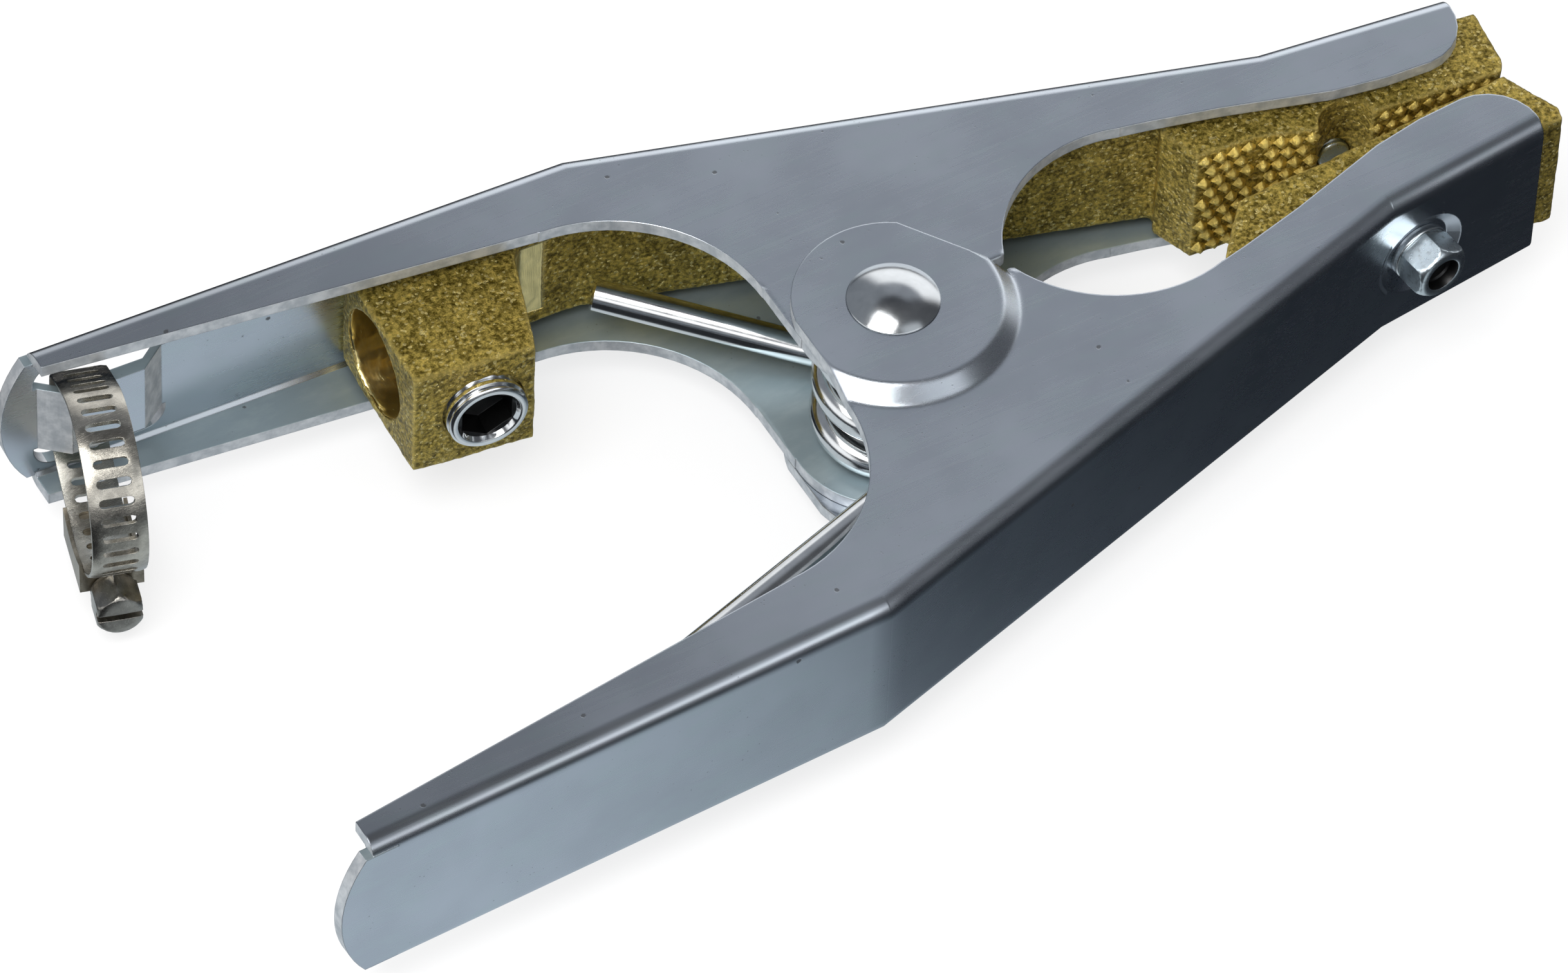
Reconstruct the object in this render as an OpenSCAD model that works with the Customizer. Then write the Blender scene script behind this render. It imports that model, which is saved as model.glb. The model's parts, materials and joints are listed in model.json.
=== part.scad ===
// Spring-loaded ground clamp for a welding return cable.
// Lies on its side: the pivot axis is vertical (Z), the jaws point to +X, the handles to -X.
// The cable arm is on the +Y side and the jaw arm is its mirror on the -Y side.
// Z = 0 is the plane the clamp rests on; the clamp's middle plane is at mid_z.

/* [Arms] */
// Outside width of each arm's channel section
arm_w = 28; // [27:0.5:30]
// Sheet thickness of both arms
sheet = 2; // [1.8:0.1:2.2]
// Outside radius of the channel's bends
bend_r = 2.8; // [2.5:0.1:3.2]
// Distance from the pivot to the handles' square ends
handle_len = 110; // [108:0.5:112]
// Distance from the pivot to the sheet's jaw end
jaw_len = 99.3; // [97:0.5:101]
// How far the rounded handle tab stands past the cheeks
tab_len = 5; // [4:0.5:5]
// Outward step of the jaw arm's pivot lobes
lobe_step = 2.1; // [2.1:0.05:2.4]

/* [Conductor] */
// Radius of the bore that takes the cable
cable_r = 8; // [7:0.25:8.25]
// Depth of the cable bore
cable_depth = 17.5; // [15:0.5:18]
// Thickness of the conductor bar along the cable arm
bar_t = 6.3; // [5.5:0.1:6.5]
// Width of the conductor bar
bar_w = 20; // [18:0.5:20]
// Width of both jaw blocks
block_w = 22; // [20:0.5:22]

/* [Fasteners] */
// Radius of the cable set screw
set_screw_r = 6; // [5:0.5:6]
// Length of the cable set screw
set_screw_len = 7.6; // [7:0.1:8]
// Radius of the jaw bolts
bolt_r = 2.5; // [2.5:0.5:3]
// Width across the flats of the jaw bolts' heads
bolt_af = 8; // [8:1:10]
// Radius of the pivot rivet's shank
rivet_r = 4.5; // [4:0.25:4.5]
// Radius of the pivot rivet's domed heads
rivet_head_r = 6.7; // [6:0.1:7]

/* [Spring] */
// Radius of the spring wire
wire_r = 2.35; // [2:0.05:2.35]
// Mean radius of the spring's coils
coil_r = 8.7; // [8.5:0.1:9]
// Rise of the wire per turn in the open part of the coil
coil_pitch = 7.4; // [6:0.2:7.4]

/* [Hose clamp] */
// Width of the hose clamp's band
band_w = 8; // [8:0.5:9]
// Thickness of the band
band_t = 0.8; // [0.6:0.1:0.8]
// Mean radius of the band's loop
loop_r = 13.1; // [13:0.1:14]
// Angle by which the hose clamp hangs out of square, in degrees
clamp_skew = 16; // [14:1:18]

/* [Hidden] */
fit = 0.05;
half_w = arm_w / 2;
upper_dome = 2.4;
lower_dome = 3.6;
lobe_z = half_w + lobe_step;
mid_z = lobe_z + 0.1 + lower_dome;

// Outer faces of the webs in plan: handle end, handle bend, jaw bend, jaw end.
// The jaw arm's is given mirrored, as if it lay on the +Y side.
cable_web = [[-handle_len, 51.3], [-27, 47.1], [70.6, 18], [jaw_len, 14.5]];
jaw_web = [[-handle_len, 50.1], [-27, 46.7], [72.5, 17], [jaw_len, 13.9]];

// Plan shape shared by both arms
handle_cut_r = 24;
handle_cut = [-38.2, 11.8];
jaw_cut_r = 21.7;
jaw_cut = [39.1, -6.6];
cable_lobe_r = 14;
jaw_lobe_r = 14.4;
flank_x = 14.1;
step_in_r = 15.5;
step_out_r = 18;

// Web slots and the pressed-in bridge that hold the hose clamp
slot_x0 = -110;
slot_x1 = -89.6;
slot_z = 10.5;
bridge_z = 6.4;
bridge_drop = 3.1;

// Bolt seat pressed into both webs
bolt_x = 78.3;
seat_depth = 1.2;
seat_r = 5.4;
seat_out_r = 7.8;

// Geometry of a web line w ------------------------------------------------------------------

function unit(v) = v / norm(v);
function left(v) = [-v[1], v[0]];
function seg_dir(w, i) = unit(w[i + 1] - w[i]);
function seg_angle(w, i) = atan2(seg_dir(w, i)[1], seg_dir(w, i)[0]);
// Point at depth d inside the web's outer face, at bend i
function bend_at(w, i, d) = let (a = left(seg_dir(w, i - 1)), b = left(seg_dir(w, i)), m = unit(a + b))
    w[i] - m * d / (m * a);
function seg_of(w, x) = x < w[1][0] ? 0 : x < w[2][0] ? 1 : 2;
// Point at depth d inside the web's outer face, at length x
function web_at(w, x, d) = let (i = seg_of(w, x), t = seg_dir(w, i), p = w[i] - left(t) * d)
    [x, p[1] + (x - p[0]) * t[1] / t[0]];

// Origin on the web's outer face at length x, local Y pointing out of the web
module on_web(w, x) {
    translate([web_at(w, x, 0)[0], web_at(w, x, 0)[1], 0]) rotate([0, 0, seg_angle(w, seg_of(w, x))])
        children();
}

// Cylinder along local -Y, from the web's outer face inwards
module inward(h, r, r2 = undef) {
    rotate([90, 0, 0]) cylinder(h = h, r1 = r, r2 = r2 == undef ? r : r2, $fn = 64);
}

// Plate in plan with thickness from z0 to z1
module slab(z0, z1) {
    translate([0, 0, z0]) linear_extrude(z1 - z0) children();
}

// Arms --------------------------------------------------------------------------------------

// Outer outline of the channel in (local Y, Z), with round bends
module outer_outline() {
    r = bend_r;
    translate([-70, -half_w]) square([70 - r, 2 * half_w]);
    translate([-70, -half_w + r]) square([70, 2 * (half_w - r)]);
    for (s = [-1, 1]) translate([-r, s * (half_w - r)]) circle(r = r, $fn = 48);
}

// Inner outline of the channel, with its tight bends as bevels
module inner_outline() {
    w = half_w - sheet;
    c = 0.6;
    polygon([[-75, -w], [-sheet - c, -w], [-sheet, -w + c], [-sheet, w - c], [-sheet - c, w], [-75, w]]);
}

// Straight bar of a given outline along web segment i
module bar_along(w, i) {
    before = [20, 120, 35][i];
    translate([w[i][0], w[i][1], 0]) rotate([0, 0, seg_angle(w, i)]) translate([-before, 0, 0])
        rotate([90, 0, 90]) linear_extrude(before + 230 - 70 * i) children();
}

// The web is convex at the handle bend and hollow at the jaw bend
module channel(w) {
    difference() {
        union() {
            intersection() {
                bar_along(w, 0) outer_outline();
                bar_along(w, 1) outer_outline();
            }
            bar_along(w, 2) outer_outline();
        }
        intersection() {
            bar_along(w, 0) inner_outline();
            bar_along(w, 1) inner_outline();
        }
        bar_along(w, 2) inner_outline();
    }
}

// Plan outline of a cheek; the web side runs past the channel and is trimmed by it
module cheek_outline(edge_y, lobe_r) {
    circle(r = lobe_r, $fn = 96);
    difference() {
        polygon([[-handle_len, 60], [-handle_len, edge_y],
            [-36.9, 35.85], [-flank_x, 11.8], [-flank_x, 1.2], [18.4, 1.2], [45.6, 14.15], [50, 13.2], [60, 10.7],
            [76, 5.9], [84, 4.5], for (a = [-90 : 15 : 0]) [jaw_len - 8 + 8 * cos(a), 12 + 8 * sin(a)],
            [jaw_len, 60]]);
        translate(handle_cut) circle(r = handle_cut_r, $fn = 96);
        translate(jaw_cut) circle(r = jaw_cut_r, $fn = 96);
    }
}

// Rounded tab that carries the web past the handle's cheeks
module handle_tab(w) {
    tab_r = 20.7;
    tab_w = 24;
    translate([w[0][0], w[0][1], 0]) rotate([0, 0, seg_angle(w, 0)]) intersection() {
        translate([-tab_len, -sheet, -tab_w / 2]) cube([tab_len + 4, sheet, tab_w]);
        translate([tab_r - tab_len, 0, 0]) inward(sheet, tab_r);
    }
}

// Bare channel of one arm, drawn on the +Y side; edge_y is where each cheek's free edge ends
module arm_blank(w, top_edge_y, bottom_edge_y, lobe_r) {
    intersection() {
        channel(w);
        union() {
            slab(0, 30) cheek_outline(top_edge_y, lobe_r);
            slab(-30, 0) cheek_outline(bottom_edge_y, lobe_r);
        }
    }
    handle_tab(w);
}

// Round seat pressed into the jaw end of a web
module seat_metal(w) {
    r = seat_out_r;
    d = seat_depth;
    on_web(w, bolt_x) rotate([90, 0, 0]) rotate_extrude($fn = 64) polygon([[0, d], [seat_r, d], [r - 0.6, 0],
        [r + 0.6, 0], [r + 0.6, sheet], [r - 0.2, sheet], [seat_r + 0.5, sheet + d], [0, sheet + d]]);
}

module seat_cutout(w) {
    on_web(w, bolt_x) translate([0, 1, 0]) inward(sheet + 2, seat_out_r + 0.2);
}

module bolt_hole(w, r) {
    on_web(w, bolt_x) translate([0, 1, 0]) inward(30, r);
}

module bridge_slots() {
    r = 3.5;
    len = slot_x1 - slot_x0;
    on_web(cable_web, slot_x0) {
        for (z = [-slot_z + r, slot_z - r]) for (x = [r, len - r])
            translate([x, 2, z]) inward(6, r);
        translate([0, -4, -slot_z + r]) cube([len, 6, 2 * (slot_z - r)]);
        translate([r, -4, -slot_z]) cube([len - 2 * r, 6, 2 * slot_z]);
    }
}

// Strip of the web pressed inwards between the two slots
module bridge() {
    ramp = 4;
    len = slot_x1 - slot_x0;
    on_web(cable_web, slot_x0) slab(-bridge_z, bridge_z) polygon([[-0.5, 0], [0, 0],
        [ramp, -bridge_drop], [len - ramp, -bridge_drop], [len, 0], [len + 0.5, 0],
        [len + 0.5, -sheet], [len - 0.6, -sheet], [len - ramp - 0.6, -bridge_drop - sheet],
        [ramp + 0.6, -bridge_drop - sheet], [0.6, -sheet], [-0.5, -sheet]]);
}

module lift() {
    translate([0, 0, mid_z]) children();
}

module cable_arm() {
    color("lightsteelblue") lift() difference() {
        union() {
            difference() {
                arm_blank(cable_web, 46.7, 45.2, cable_lobe_r);
                seat_cutout(cable_web);
                bridge_slots();
            }
            seat_metal(cable_web);
            bridge();
        }
        bolt_hole(cable_web, bolt_r + 0.3);
        translate([0, 0, -30]) cylinder(h = 60, r = rivet_r + fit, $fn = 64);
    }
}

// Plan outline of the jaw arm's pivot lobe
module lobe_outline() {
    intersection() {
        union() {
            circle(r = jaw_lobe_r, $fn = 96);
            translate([-flank_x, -30]) square([flank_x, 30]);
            polygon([[0, 0], [9, 9.9], [18.4, -3.4], [18.4, -30], [0, -30]]);
        }
        polygon([[-flank_x, -30], [-flank_x, 20], [2.2, 20], [18.6, -3.7], [18.6, -30]]);
        circle(r = step_out_r, $fn = 128);
    }
}

// Raised lobe: flat plateau and the conical step down to the cheek
module raised_lobe() {
    intersection() {
        rotate_extrude($fn = 128) polygon([[0, lobe_z - sheet], [step_in_r, lobe_z - sheet],
            [step_out_r, half_w - sheet], [step_out_r, half_w], [step_in_r, lobe_z], [0, lobe_z]]);
        slab(0, 30) lobe_outline();
    }
}

module jaw_arm() {
    color("slategray") lift() difference() {
        union() {
            mirror([0, 1, 0]) difference() {
                union() {
                    difference() {
                        arm_blank(jaw_web, 44.9, 44.9, jaw_lobe_r);
                        seat_cutout(jaw_web);
                    }
                    seat_metal(jaw_web);
                }
                translate([0, 0, -30]) cylinder(h = 60, r = step_out_r - fit, $fn = 128);
                bolt_hole(jaw_web, bolt_r + 0.3);
            }
            raised_lobe();
            mirror([0, 0, 1]) raised_lobe();
        }
        translate([0, 0, -30]) cylinder(h = 60, r = rivet_r + fit, $fn = 64);
    }
}

// Brass conductor ---------------------------------------------------------------------------

bar_back = sheet + fit;
block_back = sheet + 0.4;
lug_x = -63.9;
bore_y = 36;
bore_tilt = -1.5;
screw_x = -53.3;
screw_tilt = -7.8;

module bar() {
    w = cable_web;
    t = bar_back + bar_t;
    slab(-bar_w / 2, bar_w / 2) polygon([web_at(w, -62, bar_back), bend_at(w, 1, bar_back),
        bend_at(w, 2, bar_back), web_at(w, 99, bar_back), web_at(w, 99, t), bend_at(w, 2, t),
        bend_at(w, 1, t), web_at(w, -62, t)]);
}

module lug_block() {
    w = cable_web;
    slab(-bar_w / 2, bar_w / 2) polygon([[lug_x, 22.9], [-45.6, 20.4], [-40.1, 36.6],
        web_at(w, -38, bar_back + bar_t), web_at(w, -37, block_back), web_at(w, -62.5, block_back),
        [-63.1, 40.1]]);
}

module upper_jaw_block() {
    w = cable_web;
    slab(-block_w / 2, block_w / 2) polygon([web_at(w, 56, block_back), bend_at(w, 2, block_back),
        web_at(w, 98.5, block_back), [103.6, 11.6], [102.2, 1.6], [100.8, -0.2], [71.3, 2.9],
        [63.5, 5.6], [54, 6.4], [51.6, 13]]);
}

// Origin on the lug's outer face at the set screw, local Y pointing out of the hole
module at_set_screw() {
    translate([screw_x, 21.4, 0]) rotate([0, 0, 180 + screw_tilt]) children();
}

module conductor_casting() {
    color("darkgoldenrod") lift() difference() {
        union() {
            bar();
            lug_block();
            upper_jaw_block();
        }
        translate([lug_x - 5, bore_y, 0]) rotate([0, 90, bore_tilt])
            cylinder(h = cable_depth + 5, r = cable_r, $fn = 96);
        at_set_screw() translate([0, 5, 0]) inward(17, set_screw_r + fit);
        on_web(cable_web, bolt_x) translate([0, 1, 0]) inward(seat_depth + sheet + 1.3, seat_out_r + 0.8);
        bolt_hole(cable_web, bolt_r + fit);
        translate([76.4, 1.9, -30]) cylinder(h = 60, r = 4.2, $fn = 64);
    }
}

module lower_jaw_pad() {
    w = jaw_web;
    color("goldenrod") lift() mirror([0, 1, 0]) difference() {
        slab(-block_w / 2, block_w / 2) polygon([web_at(w, 51, block_back), bend_at(w, 2, block_back),
            web_at(w, 98.5, block_back), [103.9, 12.1], [104.6, 9.7], [100.8, 0.6], [69.5, 2.6], [55, 3],
            [47.6, 11.5]]);
        on_web(w, bolt_x) translate([0, 1, 0]) inward(seat_depth + sheet + 1.3, seat_out_r + 0.8);
        on_web(w, bolt_x) translate([0, 1, 0]) inward(13.5, bolt_r + fit);
    }
}

// Pivot -------------------------------------------------------------------------------------

// Domed rivet head of height h, standing on z = 0
module rivet_head(h) {
    sphere_r = (rivet_head_r * rivet_head_r + h * h) / (2 * h);
    intersection() {
        translate([0, 0, h - sphere_r]) sphere(r = sphere_r, $fn = 96);
        cylinder(h = h, r = rivet_head_r, $fn = 96);
    }
}

// The hidden head is a flat-topped button, on which the clamp rests
module pivot_rivet() {
    head_z = lobe_z + 0.1;
    color("silver") lift() {
        translate([0, 0, -head_z - 0.01]) cylinder(h = 2 * head_z + 0.02, r = rivet_r, $fn = 64);
        translate([0, 0, head_z]) rivet_head(upper_dome);
        mirror([0, 0, 1]) translate([0, 0, head_z]) intersection() {
            rivet_head(lower_dome + 0.5);
            cylinder(h = lower_dome, r = rivet_head_r, $fn = 96);
        }
    }
}

module pivot_sleeve() {
    inner_w = arm_w - 2 * sheet;
    color("gray") lift() translate([0, 0, -inner_w / 2 + 0.1]) difference() {
        cylinder(h = inner_w - 0.2, r = 5.8, $fn = 64);
        translate([0, 0, -1]) cylinder(h = inner_w + 2, r = rivet_r + fit, $fn = 64);
    }
}

// Torsion spring ----------------------------------------------------------------------------

coil_z = half_w - sheet - wire_r - 0.15;
upper_tip = [-28.2, 35.2, -3.3];
// Angle at which the upper leg leaves the coil as its tangent
tip_dist = norm([upper_tip[0], upper_tip[1]]);
upper_off = atan2(upper_tip[1], upper_tip[0]) - acos(coil_r / tip_dist);
// The closed end turns lie flat; the turns between them rise with the pitch
flat_turn = 170;
rise_turn = 360 * 2 * coil_z / coil_pitch;
lower_off = upper_off - flat_turn - rise_turn - 60;

function coil_height(t) = t < flat_turn ? -coil_z
    : t < flat_turn + rise_turn ? -coil_z + coil_pitch * (t - flat_turn) / 360 : coil_z;
function coil_point(t) = [coil_r * cos(upper_off - t), coil_r * sin(upper_off - t), coil_height(t)];

// Lower leg: down from the coil's top, round a bend and along the jaw arm's handle
leg_start = coil_point(upper_off - lower_off);
leg_dir = [sin(lower_off), -cos(lower_off)];
leg_run = unit([-0.959, -0.2836]);
leg_turn = [leg_start[0], leg_start[1]] + leg_dir * 19.6;
leg_bend = 7;
leg_tip = [-74, -43.6, 8.6];
function corner(s) = let (a = leg_turn - leg_dir * leg_bend, b = leg_turn + leg_run * leg_bend)
    (1 - s) * (1 - s) * a + 2 * s * (1 - s) * leg_turn + s * s * b;

spring_path = concat([upper_tip],
    [for (t = [0 : 12 : upper_off - lower_off]) coil_point(t)],
    [for (s = [0 : 0.125 : 1]) [corner(s)[0], corner(s)[1], coil_z]],
    [leg_tip]);

// Round wire of radius r swept along a path of points
module wire(path, r, sides = 12) {
    n = len(path);
    dir = [for (i = [0 : n - 1]) unit(path[min(i + 1, n - 1)] - path[max(i - 1, 0)])];
    rings = [for (i = [0 : n - 1]) let (a = unit(cross(dir[i], [0, 0, 1])), b = cross(a, dir[i]))
        each [for (k = [0 : sides - 1]) path[i] + r * (cos(360 * k / sides) * a + sin(360 * k / sides) * b)]];
    side_faces = [for (i = [0 : n - 2]) for (k = [0 : sides - 1]) each let (k2 = (k + 1) % sides)
        [[i * sides + k, i * sides + k2, (i + 1) * sides + k2],
         [i * sides + k, (i + 1) * sides + k2, (i + 1) * sides + k]]];
    ends = [[for (k = [sides - 1 : -1 : 0]) k], [for (k = [0 : sides - 1]) (n - 1) * sides + k]];
    polyhedron(rings, concat(side_faces, ends));
}

module torsion_spring() {
    color("gainsboro") lift() wire(spring_path, wire_r);
}

// Fasteners ---------------------------------------------------------------------------------

// Hexagon-headed bolt with a formed recess; local Y points out of the web
washer_t = 1.25;
module jaw_bolt(w, shank) {
    head_h = 5;
    on_web(w, bolt_x) translate([0, washer_t + 0.05 - seat_depth, 0]) difference() {
        union() {
            translate([0, head_h, 0]) rotate([90, 0, 0]) cylinder(h = head_h, d = bolt_af / cos(30), $fn = 6);
            translate([0, 0.01, 0]) inward(shank, bolt_r);
        }
        translate([0, head_h + 1, 0]) inward(2.2, 2.7);
    }
}

// Split spring washer under a jaw bolt's head
module spring_washer(w) {
    on_web(w, bolt_x) translate([0, washer_t + 0.02 - seat_depth, 0]) difference() {
        inward(washer_t, 4.6);
        translate([0, 1, 0]) inward(4, bolt_r + 0.1);
        rotate([0, 25, 0]) translate([-0.5, -4, 0]) cube([1, 8, 10]);
    }
}

module upper_jaw_bolt() {
    color("silver") lift() jaw_bolt(cable_web, 12);
}

module lower_jaw_bolt() {
    color("silver") lift() mirror([0, 1, 0]) jaw_bolt(jaw_web, 11);
}

module upper_spring_washer() {
    color("darkgray") lift() spring_washer(cable_web);
}

module lower_spring_washer() {
    color("darkgray") lift() mirror([0, 1, 0]) spring_washer(jaw_web);
}

module cable_set_screw() {
    stand_out = 2.1;
    color("silver") lift() at_set_screw() translate([0, stand_out, 0]) difference() {
        inward(set_screw_len, set_screw_r);
        translate([0, 0.01, 0]) rotate([90, 0, 0]) cylinder(h = 5.5, d = 6 / cos(30) * 1.25, $fn = 6);
    }
}

// Hose clamp --------------------------------------------------------------------------------

clamp_at = [-107.1, 35];
loop_z = 1.9;
loop_y = -1.2;
screw_angle = -4;

// Frame of the hose clamp: local X across the band, local Y towards the web
module at_hose_clamp() {
    translate([clamp_at[0], clamp_at[1], 0]) rotate([0, 0, -clamp_skew]) children();
}

// Outline of the loop in (local Y, Z), grown by d from its mean line
top_y = 15.2;
module loop_outline(d) {
    hull() {
        translate([loop_y, loop_z]) circle(r = loop_r + d, $fn = 72);
        for (z = [-1, 1]) translate([top_y - 3.4, z * 5]) circle(r = 3.4 + d, $fn = 32);
    }
}

// Turns a shape drawn in (Y, Z) into a band across local X
module across(w) {
    rotate([90, 0, 90]) translate([0, 0, -w / 2]) linear_extrude(w) children();
}

module hose_clamp_band() {
    color("tan") lift() at_hose_clamp() across(band_w) difference() {
        loop_outline(band_t / 2);
        loop_outline(-band_t / 2);
    }
}

// Frame of the worm screw: local Y along it, pointing back into the housing
worm_r = 2.6;
worm_off = loop_r + band_t / 2 + 0.1 + worm_r;
module at_worm() {
    at_hose_clamp() translate([0, loop_y, loop_z]) rotate([screw_angle, 0, 0])
        translate([0, 0, -worm_off]) children();
}

// Saddle that wraps the band, with the worm's tunnel under it
module hose_clamp_housing() {
    len = 11.4;
    wall = 0.5;
    saddle_w = band_w + 0.2 + 2 * wall;
    color("darkkhaki") lift() difference() {
        at_worm() difference() {
            translate([0, -5.6, 0]) union() {
                rotate([-90, 0, 0]) cylinder(h = len, r = worm_r + wall + fit, $fn = 48);
                translate([-saddle_w / 2, 0, 0]) cube([saddle_w, len, worm_r + 3]);
            }
            translate([0, -20, 0]) rotate([-90, 0, 0]) cylinder(h = 40, r = worm_r + fit, $fn = 48);
            translate([0, 0, worm_off]) across(40) circle(r = loop_r - band_t / 2 - 0.6, $fn = 96);
        }
        at_hose_clamp() across(band_w + 0.1) loop_outline(band_t / 2 + 0.06);
    }
}

module hose_clamp_screw() {
    head_af = 6.5;
    color("tan") lift() at_worm() difference() {
        union() {
            translate([0, -5.8, 0]) rotate([-90, 0, 0]) cylinder(h = 11, r = worm_r, $fn = 48);
            translate([0, -6.6, 0]) rotate([-90, 0, 0]) cylinder(h = 0.9, r = 3.2, $fn = 48);
            translate([0, -11.5, 0]) rotate([-90, 0, 0]) rotate([0, 0, 30])
                cylinder(h = 5, d = head_af / cos(30), $fn = 6);
        }
        translate([-0.5, -11.6, -6]) cube([1, 1.6, 12]);
    }
}

cable_arm();
jaw_arm();
conductor_casting();
lower_jaw_pad();
pivot_rivet();
pivot_sleeve();
torsion_spring();
upper_jaw_bolt();
upper_spring_washer();
lower_jaw_bolt();
lower_spring_washer();
cable_set_screw();
hose_clamp_band();
hose_clamp_housing();
hose_clamp_screw();
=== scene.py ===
import bisect, bpy, bmesh, json, math, random
from mathutils import Matrix, Vector


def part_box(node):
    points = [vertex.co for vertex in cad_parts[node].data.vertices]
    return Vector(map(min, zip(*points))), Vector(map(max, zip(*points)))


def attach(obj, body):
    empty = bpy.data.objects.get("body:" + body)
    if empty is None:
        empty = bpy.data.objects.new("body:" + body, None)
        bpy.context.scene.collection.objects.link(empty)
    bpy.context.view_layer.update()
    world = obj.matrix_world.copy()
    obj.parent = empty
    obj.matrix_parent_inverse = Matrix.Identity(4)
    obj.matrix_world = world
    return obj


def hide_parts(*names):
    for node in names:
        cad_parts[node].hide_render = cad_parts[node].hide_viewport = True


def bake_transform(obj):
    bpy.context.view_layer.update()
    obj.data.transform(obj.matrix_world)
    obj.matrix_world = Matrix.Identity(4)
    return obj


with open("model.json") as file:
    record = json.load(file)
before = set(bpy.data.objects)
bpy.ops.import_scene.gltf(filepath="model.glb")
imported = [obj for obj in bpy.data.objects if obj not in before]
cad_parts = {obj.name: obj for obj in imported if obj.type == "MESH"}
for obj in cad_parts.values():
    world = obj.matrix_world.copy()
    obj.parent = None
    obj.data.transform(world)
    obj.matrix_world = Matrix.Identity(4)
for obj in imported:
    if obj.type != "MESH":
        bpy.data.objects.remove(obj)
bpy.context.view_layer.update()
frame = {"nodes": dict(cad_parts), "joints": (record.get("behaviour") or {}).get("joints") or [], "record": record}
NODES = frame["nodes"]
JOINTS = {j["name"]: j for j in frame["joints"]}
MOUNTS = {m["name"]: m for m in frame["record"].get("mounts", [])}
PIVOT = Vector(JOINTS["jaw_hinge"]["pos_m"])
MID = PIVOT.z * 1000.0
MM = 0.001

# Webs in plan, in mm: handle end, handle bend, jaw bend, jaw end
CABLE_WEB = [(-110.0, 51.3), (-27.0, 47.1), (70.6, 18.0), (99.3, 14.5)]
JAW_WEB = [(-110.0, -50.1), (-27.0, -46.7), (72.5, -17.0), (99.3, -13.9)]
SHEET = 2.0
HALF = 14.0
BOLT_X = 78.3


# ---------------------------------------------------------------- node helper
class S:
    """A socket in a node tree, with arithmetic."""

    def __init__(self, nt, sock):
        self.nt, self.sock = nt, sock

    def _m(self, op, *args):
        n = self.nt.nodes.new("ShaderNodeMath")
        n.operation = op
        for i, a in enumerate((self,) + args):
            put(self.nt, n.inputs[i], a)
        return S(self.nt, n.outputs[0])

    def __add__(self, o): return self._m("ADD", o)
    def __radd__(self, o): return self._m("ADD", o)
    def __sub__(self, o): return self._m("SUBTRACT", o)
    def __mul__(self, o): return self._m("MULTIPLY", o)
    def __rmul__(self, o): return self._m("MULTIPLY", o)
    def __truediv__(self, o): return self._m("DIVIDE", o)
    def __neg__(self): return self._m("MULTIPLY", -1.0)
    def rsub(self, v): return (-self)._m("ADD", v)

    def abs(self): return self._m("ABSOLUTE")
    def pow(self, v): return self._m("POWER", v)
    def sqrt(self): return self._m("SQRT")
    def max(self, v): return self._m("MAXIMUM", v)
    def min(self, v): return self._m("MINIMUM", v)
    def sin(self): return self._m("SINE")

    def ramp(self, a, b, lo=0.0, hi=1.0):
        """Smooth step from lo at a to hi at b."""
        n = self.nt.nodes.new("ShaderNodeMapRange")
        n.interpolation_type = "SMOOTHSTEP"
        put(self.nt, n.inputs["Value"], self)
        if a < b:
            n.inputs["From Min"].default_value, n.inputs["From Max"].default_value = a, b
            n.inputs["To Min"].default_value, n.inputs["To Max"].default_value = lo, hi
        else:
            n.inputs["From Min"].default_value, n.inputs["From Max"].default_value = b, a
            n.inputs["To Min"].default_value, n.inputs["To Max"].default_value = hi, lo
        return S(self.nt, n.outputs["Result"])


def put(nt, inp, v):
    if isinstance(v, S):
        nt.links.new(v.sock, inp)
    elif isinstance(v, (tuple, list)) and len(v) == 3 and inp.type == "RGBA":
        inp.default_value = (*v, 1.0)
    else:
        inp.default_value = v


def mk(nt, kind, out=0, attrs=None, **inputs):
    n = nt.nodes.new("ShaderNode" + kind)
    for k, v in (attrs or {}).items():
        setattr(n, k, v)
    for k, v in inputs.items():
        put(nt, n.inputs[k.replace("_", " ")], v)
    return S(nt, n.outputs[out])


def mixc(nt, f, a, b):
    n = nt.nodes.new("ShaderNodeMix")
    n.data_type = "RGBA"
    put(nt, n.inputs[0], f)
    put(nt, n.inputs[6], a)
    put(nt, n.inputs[7], b)
    return S(nt, n.outputs[2])


def mixv(nt, f, a, b):
    n = nt.nodes.new("ShaderNodeMix")
    n.data_type = "FLOAT"
    put(nt, n.inputs[0], f)
    put(nt, n.inputs[2], a)
    put(nt, n.inputs[3], b)
    return S(nt, n.outputs[0])


def xyz(nt, vec):
    n = nt.nodes.new("ShaderNodeSeparateXYZ")
    put(nt, n.inputs[0], vec)
    return [S(nt, n.outputs[i]) for i in range(3)]


def material(name):
    m = bpy.data.materials.new(name)
    m.use_nodes = True
    nt = m.node_tree
    nt.nodes.clear()
    out = nt.nodes.new("ShaderNodeOutputMaterial")
    bsdf = nt.nodes.new("ShaderNodeBsdfPrincipled")
    nt.links.new(bsdf.outputs[0], out.inputs[0])
    tc = nt.nodes.new("ShaderNodeTexCoord")
    return m, nt, bsdf, S(nt, tc.outputs["Object"])


def mapped(nt, p, scale, loc=(0, 0, 0)):
    """Object coordinates times a scale, in 1/mm."""
    n = nt.nodes.new("ShaderNodeMapping")
    put(nt, n.inputs["Vector"], p)
    s = scale if isinstance(scale, tuple) else (scale,) * 3
    n.inputs["Scale"].default_value = [c * 1000.0 for c in s]
    n.inputs["Location"].default_value = loc
    return S(nt, n.outputs[0])


def noise(nt, p, scale, detail=2.0, rough=0.5, loc=(0, 0, 0), out=0):
    return mk(nt, "TexNoise", out, Vector=mapped(nt, p, scale, loc), Scale=1.0, Detail=detail, Roughness=rough)


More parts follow.
